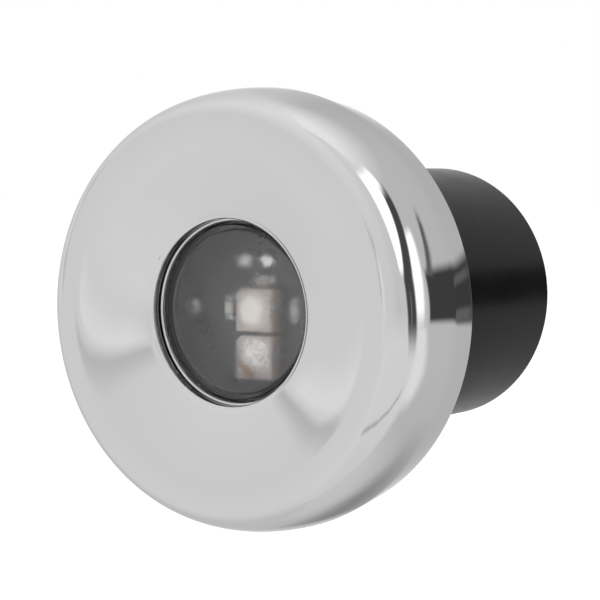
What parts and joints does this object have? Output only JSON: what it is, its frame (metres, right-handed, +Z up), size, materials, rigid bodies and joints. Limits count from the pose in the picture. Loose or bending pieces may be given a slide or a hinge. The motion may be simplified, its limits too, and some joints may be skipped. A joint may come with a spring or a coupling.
{
  "type": "recessed stair light",
  "caption": "Round recessed stair light: polished dished cover with a round window over two square LEDs, on a black barrel that goes through the panel.",
  "frame": {"origin": "centre of the panel's hole at the panel's surface, where the flange gasket's back lies", "axes": "+Y into the panel along the barrel, -Y out of the face, +Z up"},
  "size_m": [0.054, 0.06, 0.054],
  "materials": {
    "polished_metal": "polished stainless, mirror bright",
    "bright_metal": "bright turned metal",
    "sink_aluminium": "plain extruded and turned",
    "screw_steel": "plated steel screws",
    "black_moulding": "satin black moulding",
    "black_rubber": "soft matt black",
    "grey_foam": "closed-cell foam, matt",
    "clear_lens": "clear, polished",
    "dark_well": "dark satin",
    "dark_board": "dark solder mask",
    "green_board": "green solder mask",
    "led_ceramic": "pale ceramic",
    "phosphor": "pale orange phosphor gel",
    "resistor_body": "pale ceramic with tinned ends",
    "grey_pad": "matt silicone pad",
    "red_insulation": "red wire insulation",
    "black_insulation": "black wire insulation",
    "black_component": "moulded epoxy",
    "capacitor_sleeve": "dark blue sleeve",
    "ferrite": "sintered ferrite",
    "varistor_blue": "blue lacquer",
    "terminal_green": "green moulding"
  },
  "bodies": {
    "light_body": {"housing": "black_moulding", "flange_gasket": "grey_foam", "cover_grip_ring": "black_rubber", "lens_retaining_ring": "bright_metal", "lens": "clear_lens", "lens_seal": "black_rubber", "rear_cap": "black_moulding", "rear_cap_seal": "black_rubber", "cable_grommet": "black_rubber", "gland_nut": "black_moulding", "cap_screw_1": "screw_steel", "cap_screw_2": "screw_steel", "cap_screw_3": "screw_steel", "light_well": "dark_well", "led_board": "dark_board", "led_package_upper": "led_ceramic", "led_package_lower": "led_ceramic", "led_phosphor_upper": "phosphor", "led_phosphor_lower": "phosphor", "chip_resistor_left": "resistor_body", "chip_resistor_right": "resistor_body", "chip_resistor_top": "resistor_body", "board_screw_left": "screw_steel", "board_screw_right": "screw_steel", "thermal_pad": "grey_pad", "heat_sink": "sink_aluminium", "red_lead": "red_insulation", "black_lead": "black_insulation", "driver_board": "green_board", "smoothing_capacitor": "capacitor_sleeve", "inductor": "ferrite", "varistor": "varistor_blue", "bridge_rectifier": "black_component", "driver_chip": "black_component", "terminal_block": "terminal_green"},
    "cover_shell": {"cover": "polished_metal"}
  },
  "joints": [
    {"name": "cover_pull", "type": "slide", "parent": "light_body", "child": "cover_shell", "axis": [0, -1, 0], "range_m": [0, 0.02]}
  ]
}
